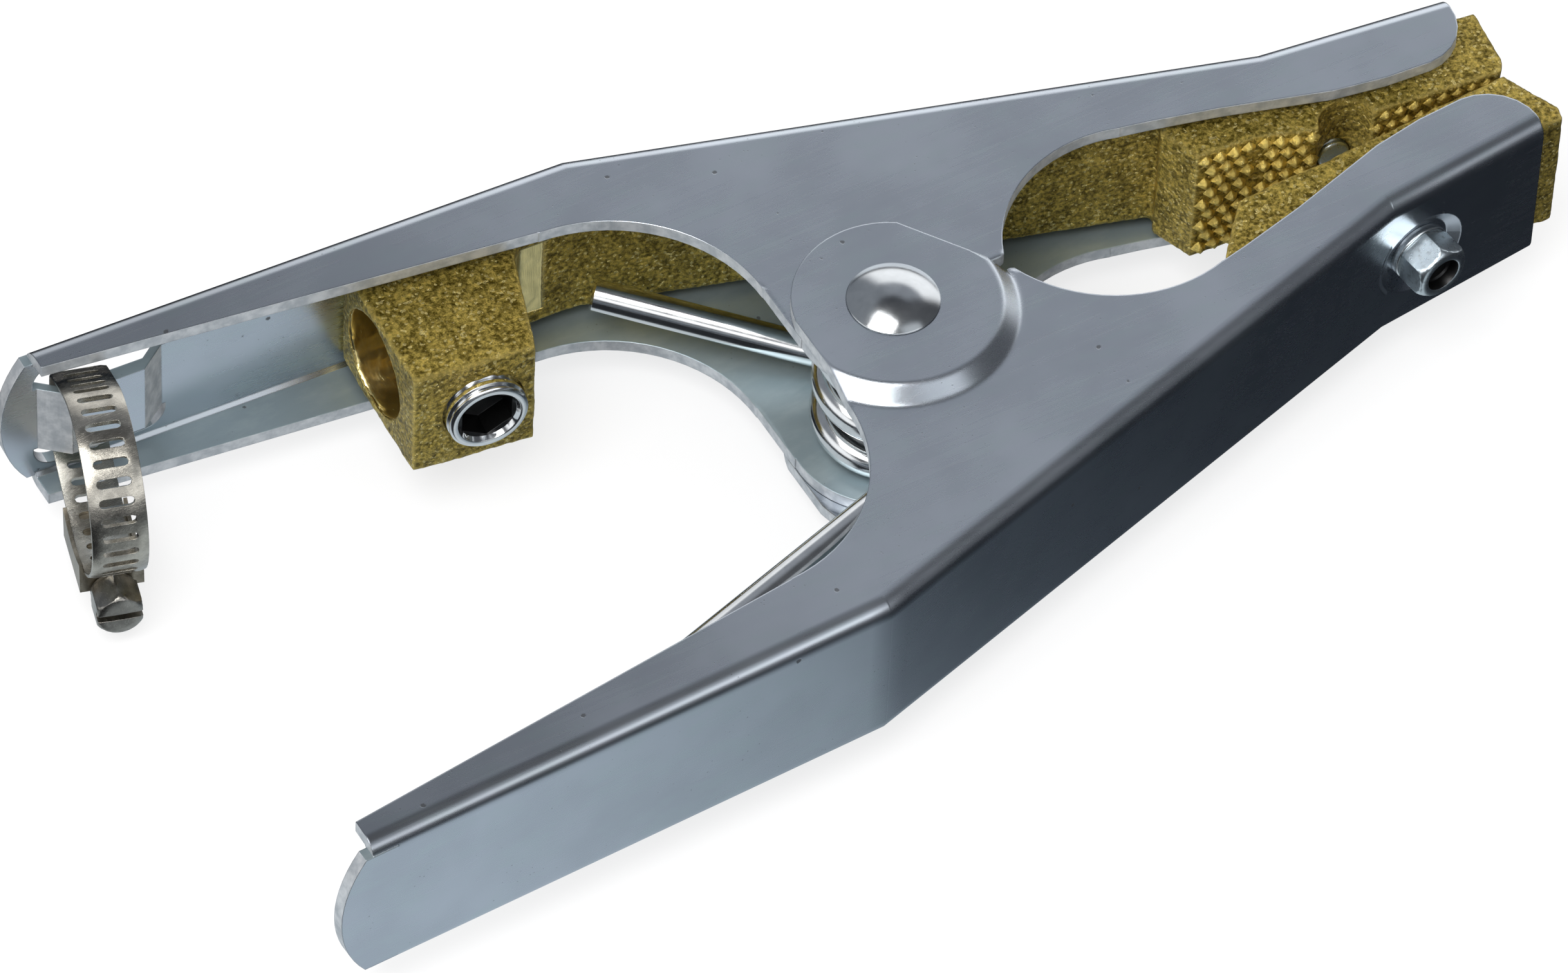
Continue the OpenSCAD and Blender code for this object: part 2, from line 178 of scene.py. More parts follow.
def voronoi(nt, p, scale, out=0, loc=(0, 0, 0), feature="F1", randomness=1.0):
    return mk(nt, "TexVoronoi", out, {"feature": feature}, Vector=mapped(nt, p, scale, loc), Scale=1.0,
              Randomness=randomness)


def bump(nt, height, dist_mm, strength=1.0, normal=None):
    n = nt.nodes.new("ShaderNodeBump")
    n.inputs["Strength"].default_value = strength
    n.inputs["Distance"].default_value = dist_mm * MM
    put(nt, n.inputs["Height"], height)
    if normal is not None:
        put(nt, n.inputs["Normal"], normal)
    return S(nt, n.outputs[0])


def rounded(nt, radius_mm):
    n = nt.nodes.new("ShaderNodeBevel")
    n.samples = 6
    n.inputs["Radius"].default_value = radius_mm * MM
    return S(nt, n.outputs[0])


def set_bsdf(nt, bsdf, **kw):
    for k, v in kw.items():
        put(nt, bsdf.inputs[k.replace("_", " ")], v)


# ---------------------------------------------------------------- materials
def zinc(name, bends, tint=(0.62, 0.66, 0.715), rough=0.26, edge=0.30, metal=1.0):
    """Zinc-plated pressed sheet: satin, faintly streaked along the rolling direction, small pits and specks."""
    m, nt, b, p = material(name)
    cloud = noise(nt, p, 0.045, 3.0, 0.55)
    patch = noise(nt, p, (0.12, 0.3, 0.3), 4.0, 0.6, (7, 3, 1))
    streak = noise(nt, p, (0.03, 1.6, 1.6), 3.0, 0.6)
    fine = noise(nt, p, 7.0, 2.0, 0.6)
    base = mixc(nt, cloud.ramp(0.35, 0.65), tuple(c * 0.93 for c in tint), tuple(min(1, c * 1.04) for c in tint))
    base = mixc(nt, patch.ramp(0.42, 0.72) * 0.4, base, (0.60, 0.69, 0.70))
    cell = voronoi(nt, p, 0.22)
    pick = mk(nt, "SeparateColor", 0, Color=voronoi(nt, p, 0.22, 1))
    warp = noise(nt, p, 1.1, 2.0, 0.7, (4, 4, 4))
    spot = (cell + warp * 0.16).ramp(0.175, 0.135) * pick.ramp(0.70, 0.72)
    spot2 = (voronoi(nt, p, 0.9, 0, (3, 1, 2)) + warp * 0.2).ramp(0.21, 0.17) * noise(nt, p, 0.12, 2.0).ramp(0.5, 0.62)
    base = mixc(nt, spot * 0.75, base, (0.10, 0.10, 0.105))
    base = mixc(nt, spot2 * 0.45, base, (0.20, 0.21, 0.22))
    r = streak * 0.05 + (rough - 0.05) + cloud * 0.08 + spot * 0.2
    h = fine * 0.30 + streak * 0.05 - spot * 1.5 - spot2 * 0.6
    px, py, pz = xyz(nt, p)
    nz = xyz(nt, mk(nt, "NewGeometry", "Normal"))[2]
    # painted shade: faces that look upward are darkened towards the handle ends, so the handles are duller than the
    # middle
    handle_shade_painted = px.ramp(-0.108, -0.012, 0.60, 1.0)
    handle_shade_painted = mixv(nt, nz.ramp(0.3, 0.8), 1.0, handle_shade_painted)
    shade = mk(nt, "VectorMath", 0, {"operation": "SCALE"}, Scale=handle_shade_painted)
    put(nt, shade.sock.node.inputs[0], base)
    # softer roll of the joggle round the pivot
    far = (px * px + py * py).sqrt()
    ring = far.ramp(0.0142, 0.0152) * far.ramp(0.0196, 0.0186)
    soft = mk(nt, "Bevel", 0, {"samples": 8}, Radius=mixv(nt, ring, edge * MM, 1.1 * MM))
    # the webs turn through a curve, not a corner, at each bend
    flatness = (nz * nz).rsub(1.0)
    total = None
    upper = py.ramp(-0.0001, 0.0001)
    for at_cable, at_jaw, jump, reach in bends:
        at = mixv(nt, upper, at_jaw * MM, at_cable * MM)
        q = ((px - at).abs().rsub(reach * MM)).max(0.0)
        term = q * q * (jump / (4 * reach * MM))
        total = term if total is None else total + term
    curve = bump(nt, total * flatness, 1000.0, 1.0, soft)
    nrm = bump(nt, h, 0.012, 1.0, curve)
    set_bsdf(nt, b, Base_Color=shade, Metallic=metal, Roughness=r, Normal=nrm)
    return m


def cut_edge(name):
    """Sheared edge of the plated sheet: bright, with vertical shear marks."""
    m, nt, b, p = material(name)
    shear = noise(nt, p, (3.0, 3.0, 0.15), 3.0, 0.6)
    blotch = noise(nt, p, 0.5, 3.0, 0.6)
    base = mixc(nt, blotch.ramp(0.3, 0.7), (0.42, 0.45, 0.48), (0.64, 0.66, 0.68))
    nrm = bump(nt, shear, 0.03, 1.0, rounded(nt, 0.3))
    set_bsdf(nt, b, Base_Color=base, Metallic=0.6, Roughness=shear * 0.2 + 0.32, Normal=nrm)
    return m


def brass(name, bore=None, bright=0.0, dist=0.50):
    """Sand-cast brass: grains with painted glints, dark hollows, brighter raised edges; machined bores are smooth."""
    m, nt, b, p = material(name)
    grain = mk(nt, "TexVoronoi", 0, {"feature": "SMOOTH_F1"}, Vector=mapped(nt, p, 1.25), Scale=1.0, Smoothness=0.6)
    rough_n = noise(nt, p, 1.9, 5.0, 0.72)
    fine_n = noise(nt, p, 5.0, 3.0, 0.7, (3, 9, 2))
    lump = noise(nt, p, 0.30, 3.0, 0.6)
    h = grain.rsub(1.0) * 0.35 + rough_n * 1.25 + fine_n * 0.25 + lump * 0.5
    tone = (rough_n * 1.0 + fine_n * 0.25 + grain.rsub(0.8) * 0.25 + lump * 0.3).ramp(0.66 - bright, 1.10 - bright)
    base = mixc(nt, tone, (0.115, 0.080, 0.008), (0.86, 0.64, 0.15))
    # painted glints: random grain cells get a bright gold base colour and, below, a lower roughness
    pick = mk(nt, "SeparateColor", 0, Color=voronoi(nt, p, 2.4, 1, (1, 7, 3)))
    base = mixc(nt, pick.ramp(0.88, 0.94) * 0.7, base, (1.0, 0.82, 0.33))
    point = mk(nt, "NewGeometry", "Pointiness").ramp(0.503, 0.55)
    base = mixc(nt, point * 0.6, base, (0.88, 0.68, 0.21))
    r = rough_n * 0.24 + 0.20 - pick.ramp(0.88, 0.94) * 0.10
    if bore is not None:
        c, axis, radius = bore
        q = mk(nt, "VectorMath", 0, {"operation": "SUBTRACT"})
        sub = q.sock.node
        put(nt, sub.inputs[0], p)
        sub.inputs[1].default_value = c
        crs = nt.nodes.new("ShaderNodeVectorMath")
        crs.operation = "CROSS_PRODUCT"
        put(nt, crs.inputs[0], q)
        crs.inputs[1].default_value = axis
        ln = nt.nodes.new("ShaderNodeVectorMath")
        ln.operation = "LENGTH"
        nt.links.new(crs.outputs[0], ln.inputs[0])
        rad = S(nt, ln.outputs["Value"])
        dot = nt.nodes.new("ShaderNodeVectorMath")
        dot.operation = "DOT_PRODUCT"
        put(nt, dot.inputs[0], q)
        dot.inputs[1].default_value = axis
        along = S(nt, dot.outputs["Value"])
        smooth = rad.ramp((radius + 0.45) * MM, (radius + 0.15) * MM) * along.ramp(-0.0215, -0.0205)
        turned = noise(nt, p, (9.0, 0.5, 0.5), 2.0)
        base = mixc(nt, smooth, base, (0.80, 0.66, 0.30))
        r = mixv(nt, smooth, r, turned * 0.15 + 0.16)
        h = mixv(nt, smooth, h, turned * 0.05)
    nrm = bump(nt, h, dist, 0.85)
    set_bsdf(nt, b, Base_Color=base, Metallic=1.0, Roughness=r, Normal=nrm)
    return m


def chrome(name, tint=(0.86, 0.87, 0.87), rough=0.10, scratch=0.5, dist=0.004, radius=0.12):
    m, nt, b, p = material(name)
    fine = noise(nt, p, (2.5, 2.5, 2.5), 4.0, 0.7)
    smear = noise(nt, p, 0.35, 3.0, 0.6)
    base = mixc(nt, smear.ramp(0.3, 0.7), tuple(c * 0.90 for c in tint), tint)
    nrm = bump(nt, fine, dist, scratch, rounded(nt, radius))
    set_bsdf(nt, b, Base_Color=base, Metallic=1.0, Roughness=smear * 0.12 + (rough - 0.03), Normal=nrm)
    return m


def plated(name, tint=(0.66, 0.74, 0.78), rough=0.28, dark=(0.14, 0.15, 0.16)):
    """Zinc-plated fastener: bluish, with fine die lines and random dark blotches."""
    m, nt, b, p = material(name)
    lines = noise(nt, p, (0.6, 6.0, 6.0), 3.0, 0.6)
    blot = noise(nt, p, 0.8, 3.0, 0.65)
    base = mixc(nt, blot.ramp(0.52, 0.75) * 0.6, tint, dark)
    base = mixc(nt, lines.ramp(0.45, 0.7) * 0.3, base, (0.88, 0.92, 0.92))
    nrm = bump(nt, lines * 0.6 + blot * 0.4, 0.03, 1.0, rounded(nt, 0.2))
    set_bsdf(nt, b, Base_Color=base, Metallic=1.0, Roughness=blot * 0.25 + (rough - 0.1), Normal=nrm)
    return m


def stainless(name, tint=(0.60, 0.565, 0.49), rough=0.24, brush=(0.4, 9.0, 9.0), edge=0.1):
    """Stainless band: brushed, with bronze and cream patches."""
    m, nt, b, p = material(name)
    brushed = noise(nt, p, brush, 3.0, 0.65)
    blot = noise(nt, p, 0.28, 4.0, 0.65)
    base = mixc(nt, blot.ramp(0.38, 0.66), tuple(c * 0.62 for c in tint), tint)
    base = mixc(nt, brushed.ramp(0.55, 0.8) * 0.5, base, (0.86, 0.83, 0.75))
    nrm = bump(nt, brushed, 0.02, 1.0, rounded(nt, edge))
    set_bsdf(nt, b, Base_Color=base, Metallic=1.0, Roughness=brushed * 0.18 + blot * 0.12 + (rough - 0.14), Normal=nrm)
    return m


# Bends of the webs: place on the cable arm and on the jaw arm, turn in radians and half length, in mm
BENDS = [(CABLE_WEB[2][0], JAW_WEB[2][0], 0.176, 11.0), (CABLE_WEB[1][0], JAW_WEB[1][0], -0.2475, 3.2)]
M_ZINC = zinc("zinc_sheet", BENDS)
# painted reflection and shade: the inner faces of the same plated sheet get a teal, duller, less metallic copy of the
# zinc, so they read teal-grey instead of mirroring the brass
M_INNER = zinc("zinc_inside", BENDS, (0.43, 0.525, 0.565), 0.42, 0.30, 0.7)
M_EDGE = cut_edge("zinc_cut_edge")
_b = MOUNTS["cable_bore"]
M_BRASS = brass("cast_brass", bore=(Vector(_b.get("pos_m") or _b.get("position_m")), Vector(_b["axis"]), 8.0))
M_BRASS2 = brass("cast_brass_pad")
M_TOOTH = brass("cast_brass_teeth", bright=0.12, dist=0.20)
M_CHROME = chrome("bright_steel")
M_SPRING = chrome("spring_steel", (0.82, 0.83, 0.83), 0.13, 0.5, 0.003)
M_RIVET = chrome("rivet_steel", (0.72, 0.74, 0.75), 0.15, 0.7, 0.006, 0.2)
M_DULL = plated("dull_steel", (0.36, 0.37, 0.38), 0.4)
M_HW = plated("zinc_hardware")
M_WASHER = chrome("washer_steel", (0.78, 0.82, 0.84), 0.2, 0.8, 0.01, 0.15)
# painted shade: near-black steel for the insides of sockets and recesses
M_HOLLOW_SHADE = chrome("steel_hollow_painted_shade", (0.05, 0.05, 0.05), 0.35, 1.0, 0.01, 0.1)
M_BAND = stainless("stainless_band")
M_HOUSING = stainless("stainless_housing", (0.42, 0.37, 0.29), 0.3)
M_SCREW = stainless("stainless_screw", (0.44, 0.42, 0.38), 0.3, (6.0, 1.0, 6.0), 0.2)


def paint(obj, *mats):
    obj.data.materials.clear()
    for m in mats:
        obj.data.materials.append(m)


# ---------------------------------------------------------------- geometry helpers
def new_mesh(name, verts, faces, mat, smooth=True, sharp=None):
    """Mesh from points in mm, in the row frame."""
    me = bpy.data.meshes.new(name)
    me.from_pydata([tuple(c * MM for c in v) for v in verts], [], faces)
    me.validate()
    me.update()
    ob = bpy.data.objects.new(name, me)
    bpy.context.scene.collection.objects.link(ob)
    me.materials.append(mat)
    bm = bmesh.new()
    bm.from_mesh(me)
    bmesh.ops.recalc_face_normals(bm, faces=bm.faces)
    for f in bm.faces:
        f.smooth = smooth
    if sharp is not None:
        lim = math.radians(sharp)
        for e in bm.edges:
            e.smooth = len(e.link_faces) != 2 or e.calc_face_angle(0.0) < lim
    bm.to_mesh(me)
    bm.free()
    return ob


def grid_faces(rows, n, closed=True, base=0):
    """Quads between successive rings of n points."""
    out = []
    for i in range(rows - 1):
        for k in range(n if closed else n - 1):
            k2 = (k + 1) % n
            out.append((base + i * n + k, base + i * n + k2, base + (i + 1) * n + k2, base + (i + 1) * n + k))
    return out


def frame_at(origin, out_dir, up=(0, 0, 1)):
    """Matrix whose local Z is out_dir and local X is as near as can be to up."""
    z = Vector(out_dir).normalized()
    x = Vector(up)
    x = (x - z * x.dot(z)).normalized()
    y = z.cross(x)
    m = Matrix((x, y, z)).transposed().to_4x4()
    m.translation = Vector(origin)
    return m


def ringed(name, mat, place, rings, caps=(True, True), sharp=35, n=None):
    """Closed or open shell from rings of (x, y, z) points in a local frame, in mm."""
    n = len(rings[0])
    verts = [place @ Vector(v) for r in rings for v in r]
    faces = grid_faces(len(rings), n)
    if caps[0]:
        verts.append(place @ (sum((Vector(v) for v in rings[0]), Vector()) / n))
        c = len(verts) - 1
        faces += [(c, (k + 1) % n, k) for k in range(n)]
    if caps[1]:
        verts.append(place @ (sum((Vector(v) for v in rings[-1]), Vector()) / n))
        c = len(verts) - 1
        o = (len(rings) - 1) * n
        faces += [(c, o + k, o + (k + 1) % n) for k in range(n)]
    return new_mesh(name, verts, faces, mat, True, sharp)


def hex_r(af, ang, rot=0.0):
    """Distance from the centre to the side of a hexagon, af across its flats."""
    a = (ang - rot) % (math.pi / 3)
    return af / 2 / math.cos(a - math.pi / 6)


def circle_ring(r, z, n=96):
    return [(r * math.cos(2 * math.pi * k / n), r * math.sin(2 * math.pi * k / n), z) for k in range(n)]


def hex_ring(af, z, cap=99.0, rot=0.0, n=96, soft=0.0):
    out = []
    for k in range(n):
        a = 2 * math.pi * k / n
        r = min(hex_r(af, a, rot), cap)
        out.append((r * math.cos(a), r * math.sin(a), z))
    return out


def web_frame(web, x, side):
    """Point on a web's outer face at length x and its outward direction, in mm; side is +1 above, -1 below."""
    i = 0 if x < web[1][0] else 1 if x < web[2][0] else 2
    (x0, y0), (x1, y1) = web[i], web[i + 1]
    t = Vector((x1 - x0, y1 - y0, 0)).normalized()
    nrm = Vector((-t.y, t.x, 0)) * side
    y = y0 + (x - x0) * (y1 - y0) / (x1 - x0)
    return Vector((x, y, MID)), nrm, t


# ---------------------------------------------------------------- arms
def split_cut_edges(obj, web, side):
    """Gives the sheared edges of an arm their own slot, by the way each face looks."""
    me = obj.data
    for f in me.polygons:
        c = f.center * 1000.0
        n = f.normal
        _, out, t = web_frame(web, c.x, side)
        z = abs(c.z - MID)
        across, off, along = abs(n.z), n.dot(out), abs(n.dot(t))
        near_bolt = abs(c.x - BOLT_X) < 9.5 and z < 9.5
        near_pivot = c.xy.length < 18.3
        edge = across < 0.3 and off < 0.5 and z > HALF - SHEET - 0.05 and not near_bolt
        edge = edge or (along > 0.35 and z < HALF - SHEET + 0.05 and not near_bolt and across < 0.93)
        if near_pivot and z > HALF - SHEET and c.xy.length < 5:
            edge = False
        inner = across > 0.9 and z < HALF - SHEET + 0.4 and not edge
        f.material_index = 1 if edge else 2 if inner else 0


for name, web, side in (("cable_arm", CABLE_WEB, 1), ("jaw_arm", JAW_WEB, -1)):
    paint(NODES[name], M_ZINC, M_EDGE, M_INNER)
    split_cut_edges(NODES[name], web, side)

# ---------------------------------------------------------------- brass castings
TEX = bpy.data.textures.new("cast_lumps", "CLOUDS")
TEX.noise_scale = 0.0011
TEX.noise_depth = 3
TEX2 = bpy.data.textures.new("cast_waves", "CLOUDS")
TEX2.noise_scale = 0.006
TEX2.noise_depth = 1


def cast(obj, mat):
    """Rounds a casting's edges and gives its skin the unevenness of the sand mould."""
    paint(obj, mat)
    r = obj.modifiers.new("skin", "REMESH")
    r.mode = "VOXEL"
    r.voxel_size = 0.36 * MM
    r.use_smooth_shade = True
    s = obj.modifiers.new("rounding", "SMOOTH")
    s.factor = 0.5
    s.iterations = 8
    for tex, amount in ((TEX, 0.16), (TEX2, 0.22)):
        d = obj.modifiers.new("sand", "DISPLACE")
        d.texture = tex
        d.texture_coords = "LOCAL"
        d.strength = amount * MM
        d.mid_level = 0.75


cast(NODES["conductor_casting"], M_BRASS)
cast(NODES["lower_jaw_pad"], M_BRASS2)


def jaw_teeth(name, body, p0, p1, sign, skips, heights):
    """Rows of small pyramids on a jaw face running from p0 to p1 in plan."""
    a, b = Vector((*p0, 0)), Vector((*p1, 0))
    t = (b - a).normalized()
    out = Vector((t.y, -t.x, 0)) * sign
    pitch, rows = 2.3, 9
    cols = int((b - a).length / pitch)
    verts, faces = [], []
    rnd = random.Random(5)
    for i in range(cols):
        for j in range(rows):
            s = (i + 0.5 + (0.5 if j % 2 else 0.0)) * pitch
            z = (j - (rows - 1) / 2) * pitch
            c = a + t * s
            if s > (b - a).length - 0.6 or any((c.x - q[0]) ** 2 + z * z * q[2] < q[1] ** 2 for q in skips):
                continue
            k = min(1.0, s / (b - a).length)
            h = (heights[0] * (1 - k) + heights[1] * k) * (0.85 + 0.3 * rnd.random())
            w = pitch * (0.53 + 0.05 * rnd.random())
            o = len(verts)
            c = c + Vector((0, 0, MID + z))
            base = [c + t * (w * u) + Vector((0, 0, w * v)) - out * 0.35
                    for u, v in ((-1, 0), (-0.5, -0.55), (0, -1), (0.5, -0.55), (1, 0), (0.5, 0.55), (0, 1), (-0.5, 0.55))]
            mid = [c + (q + out * 0.35 - c) * 0.48 + out * h * 0.74 for q in base]
            verts += base + mid + [c + out * h]
            for e in range(8):
                f = (e + 1) % 8
                faces += [(o + e, o + f, o + 8 + f, o + 8 + e), (o + 8 + e, o + 8 + f, o + 16)]
    ob = new_mesh(name, verts, faces, M_TOOTH, True, 60)
    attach(ob, body)
    return ob


jaw_teeth("upper_jaw_teeth", "cable_side", (54.2, 6.3), (63.9, 5.5), 1, [], (0.95, 0.95))
jaw_teeth("upper_jaw_teeth_front", "cable_side", (63.5, 5.5), (72.4, 2.5), 1, [(76.4, 4.6, 0.0)], (0.95, 0.95))
jaw_teeth("upper_jaw_teeth_tip", "cable_side", (72.4, 2.8), (100.4, -0.1), 1, [(76.4, 4.6, 0.0)], (0.9, 0.35))

# ---------------------------------------------------------------- pivot
paint(NODES["pivot_rivet"], M_RIVET)
paint(NODES["pivot_sleeve"], M_DULL)

# ---------------------------------------------------------------- torsion spring
WIRE, COIL_R, PITCH = 2.35, 8.7, 7.4
COIL_Z = HALF - SHEET - WIRE - 0.15
UP_TIP = (-28.2, 35.2, -3.3)
LEG_TIP = Vector((-74.0, -43.6, 8.6))


def spring_path():
    """Upper leg, coil and lower leg of the spring, about the pivot, in mm."""
    dist = math.hypot(UP_TIP[0], UP_TIP[1])
    up_off = math.degrees(math.atan2(UP_TIP[1], UP_TIP[0])) - math.degrees(math.acos(COIL_R / dist))
    flat, rise = 170.0, 360.0 * 2 * COIL_Z / PITCH
    total = flat + rise + 60.0
    low_off = up_off - total

    def height(t):
        # eased into and out of the rise, so the wire has no kink
        if t < flat:
            return -COIL_Z
        if t < flat + rise:
            return -COIL_Z + PITCH * (t - flat) / 360.0
        return COIL_Z

    def coil(t):
        a = math.radians(up_off - t)
        h = sum(height(t + d) for d in range(-24, 25, 4)) / 13.0
        if t < 30:
            h = -COIL_Z
        return Vector((COIL_R * math.cos(a), COIL_R * math.sin(a), h))

    pts = []
    start = coil(0)
    tip = Vector(UP_TIP)
    for i in range(14):
        pts.append(tip.lerp(start, i / 14))
    step = 6.0
    k = int(total / step)
    pts += [coil(total * i / k) for i in range(k + 1)]
    end = pts[-1]
    d = Vector((math.sin(math.radians(low_off)), -math.cos(math.radians(low_off)), 0))
    run = Vector((-0.959, -0.2836, 0)).normalized()
    turn = Vector((end.x, end.y, 0)) + d * 19.6
    p0, p2 = turn - d * 7, turn + run * 7
    flat_end = Vector((end.x, end.y, 0))
    for i in range(1, 5):
        q = flat_end.lerp(p0, i / 5)
        pts.append(Vector((q.x, q.y, COIL_Z)))
    for i in range(11):
        s = i / 10
        q = p0 * (1 - s) ** 2 + turn * (2 * s * (1 - s)) + p2 * s * s
        pts.append(Vector((q.x, q.y, COIL_Z)))
    last = pts[-1].copy()
    for i in range(1, 17):
        pts.append(last.lerp(LEG_TIP, i / 16))
    return pts


def tube(name, path, radius, mat, sides=24, cap=0.35):
    """Round wire along a path, its ends slightly chamfered."""
    d0 = (path[1] - path[0]).normalized()
    d1 = (path[-1] - path[-2]).normalized()
    pts = [path[0], path[0] + d0 * cap] + path[1:-1] + [path[-1] - d1 * cap, path[-1]]
    rad = [radius - cap, radius] + [radius] * (len(path) - 2) + [radius, radius - cap]
    n = len(pts)
    dirs = [(pts[min(i + 1, n - 1)] - pts[max(i - 1, 0)]).normalized() for i in range(n)]
    a = dirs[0].cross(Vector((0, 0, 1))).normalized()
    verts = []
    for i in range(n):
        a = (a - dirs[i] * a.dot(dirs[i])).normalized()
        c = dirs[i].cross(a)
        for k in range(sides):
            w = 2 * math.pi * k / sides
            verts.append(pts[i] + (a * math.cos(w) + c * math.sin(w)) * rad[i] + Vector((0, 0, MID)))
    faces = grid_faces(n, sides)
    faces.append(tuple(range(sides)))
    faces.append(tuple(range((n - 1) * sides, n * sides)))
    return new_mesh(name, verts, faces, mat, True, 40)


spring = tube("spring_wire", spring_path(), WIRE, M_SPRING, 28)
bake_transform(spring)
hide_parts("torsion_spring")

# ---------------------------------------------------------------- jaw bolts and washers
SEAT, WASHER_T, HEAD_H, AF = 1.2, 1.25, 5.0, 8.0


def darken(ob, place, inside):
    """Gives the faces of a hollow a near-black finish as painted shade."""
    inv = place.inverted()
    ob.data.materials.append(M_HOLLOW_SHADE)
    for f in ob.data.polygons:
        if inside(inv @ (f.center * 1000.0)):
            f.material_index = 1


def hex_bolt(name, web, side, body, replaced, shank):
    p, out, t = web_frame(web, BOLT_X, side)
    m = frame_at(p + out * (WASHER_T + 0.05 - SEAT), out)
    rt = AF / 2 / math.cos(math.pi / 6)
    rings = []
    for z, r in ((-shank, 2.2), (0.25 - shank, 2.45)):
        rings.append(circle_ring(r, z))
    z = 0.6 - shank
    while z < -0.6:
        rings += [circle_ring(2.45, z), circle_ring(2.1, z + 0.4)]
        z += 0.8
    rings += [circle_ring(2.45, -0.3), circle_ring(2.5, 0.0), circle_ring(AF / 2 - 0.25, 0.0)]
    rings += [hex_ring(AF, z, cap) for z, cap in ((0.0, rt - 0.30), (0.12, rt - 0.10), (0.3, rt), (HEAD_H - 1.4, rt),
              (HEAD_H - 1.0, rt - 0.07), (HEAD_H - 0.7, rt - 0.22), (HEAD_H - 0.45, rt - 0.42),
              (HEAD_H - 0.22, rt - 0.68), (HEAD_H - 0.07, rt - 0.95), (HEAD_H, 3.2))]
    rings += [circle_ring(r, z) for r, z in ((2.9, HEAD_H), (2.72, HEAD_H - 0.08), (2.6, HEAD_H - 0.3),
              (2.5, HEAD_H - 1.6), (2.3, HEAD_H - 1.9), (1.2, HEAD_H - 2.1), (0.4, HEAD_H - 2.15))]
    ob = ringed(name, M_HW, m, rings, sharp=28)
    # painted shade inside the head's socket
    darken(ob, m, lambda v: v.z > HEAD_H - 3.0 and v.z < HEAD_H - 0.04 and v.xy.length < 2.75)
    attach(ob, body)
    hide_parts(replaced)


def split_washer(name, web, side, body, replaced):
    """Helical spring washer, cut through and slightly sprung open."""
    p, out, t = web_frame(web, BOLT_X, side)
    m = frame_at(p + out * (0.02 - SEAT), out)
    ri, ro, h, c = 2.62, 4.6, WASHER_T, 0.16
    prof = [(ri, c), (ri + c, 0), (ro - c, 0), (ro, c), (ro, h - c), (ro - c, h), (ri + c, h), (ri, h - c)]
    n, gap, start = 60, math.radians(9), math.radians(200)
    rings = []
    for k in range(n + 1):
        a = start + gap / 2 + (2 * math.pi - gap) * k / n
        rings.append([(r * math.cos(a), r * math.sin(a), z) for r, z in prof])
    ob = ringed(name, M_WASHER, m, rings, sharp=30)
    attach(ob, body)
    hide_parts(replaced)


hex_bolt("upper_bolt_head", CABLE_WEB, 1, "cable_side", "upper_jaw_bolt", 11.9)
hex_bolt("lower_bolt_head", JAW_WEB, -1, "jaw_side", "lower_jaw_bolt", 10.9)
split_washer("upper_split_washer", CABLE_WEB, 1, "cable_side", "upper_spring_washer")
split_washer("lower_split_washer", JAW_WEB, -1, "jaw_side", "lower_spring_washer")

# ---------------------------------------------------------------- cable set screw
SET_R, SET_LEN, STAND = 6.0, 7.6, 2.1
out = Vector(JOINTS["set_screw_slide"]["axis"]).normalized() * -1.0
lo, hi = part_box("cable_set_screw")
centre = (lo + hi) / 2 * 1000.0
m = frame_at(centre + out * (SET_LEN / 2), out)
sock = 6.0 * 1.25
rings = [circle_ring(SET_R - 1.0, -SET_LEN), circle_ring(SET_R - 0.2, -SET_LEN + 0.8)]
z = -SET_LEN + 1.0
while z < -2.4:
    rings += [circle_ring(SET_R - 0.02, z), circle_ring(SET_R - 0.02, z + 0.25), circle_ring(SET_R - 0.75, z + 0.85)]
    z += 1.45
rings += [circle_ring(r, z) for r, z in ((SET_R - 0.02, -2.0), (SET_R, -1.75), (SET_R, -1.35), (SET_R - 0.55, -0.95),
          (SET_R - 0.5, -0.8), (SET_R - 0.06, -0.5), (SET_R - 0.08, -0.35), (SET_R - 0.35, -0.08), (SET_R - 0.6, 0.0))]
rings += [circle_ring(r, z) for r, z in ((4.95, 0.0), (4.75, -0.1), (4.35, -0.75))]
rings += [hex_ring(sock, z, cap) for z, cap in ((-1.0, 4.28), (-1.6, 4.34), (-4.6, 4.34))]
rings += [circle_ring(2.2, -5.3), circle_ring(0.5, -5.6)]
screw = ringed("set_screw_body", M_CHROME, m, rings, sharp=30)
# painted shade inside the screw's socket
darken(screw, m, lambda v: v.xy.length < 4.45 and v.z < -0.8 and v.z > -6.0)
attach(screw, "set_screw")
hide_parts("cable_set_screw")

# ---------------------------------------------------------------- hose clamp
WORM = JOINTS["worm_screw_turn"]
WORM_AXIS = Vector(WORM["axis"]).normalized()
WORM_POS = Vector(WORM["pos_m"]) * 1000.0
SKEW = math.atan2(WORM_AXIS.x, WORM_AXIS.y)
SCREW_ANGLE = math.asin(WORM_AXIS.z)
LOOP_R, BAND_T, BAND_W, LOOP_Z, LOOP_Y, WORM_OFF = 13.1, 0.8, 8.0, 1.9, -1.2, 16.2
cross = Vector((math.cos(SKEW), -math.sin(SKEW), 0))
toward = Vector((math.sin(SKEW), math.cos(SKEW), 0))
clamp_at = Vector((WORM_POS.x, WORM_POS.y, 0)) - toward * (LOOP_Y + WORM_OFF * math.sin(SCREW_ANGLE))
clamp_at.z = MID


def clamp_point(x, y, z):
    """Local across-band, towards-web and upward distances to the row frame, in mm."""
    return clamp_at + cross * x + toward * y + Vector((0, 0, z))


def convex(points):
    pts = sorted(set(points))

    def half(seq):
        h = []
        for p in seq:
            while len(h) > 1 and ((h[-1][0] - h[-2][0]) * (p[1] - h[-2][1])
                                  - (h[-1][1] - h[-2][1]) * (p[0] - h[-2][0])) <= 0:
                h.pop()
            h.append(p)
        return h[:-1]
    return half(pts) + half(pts[::-1])


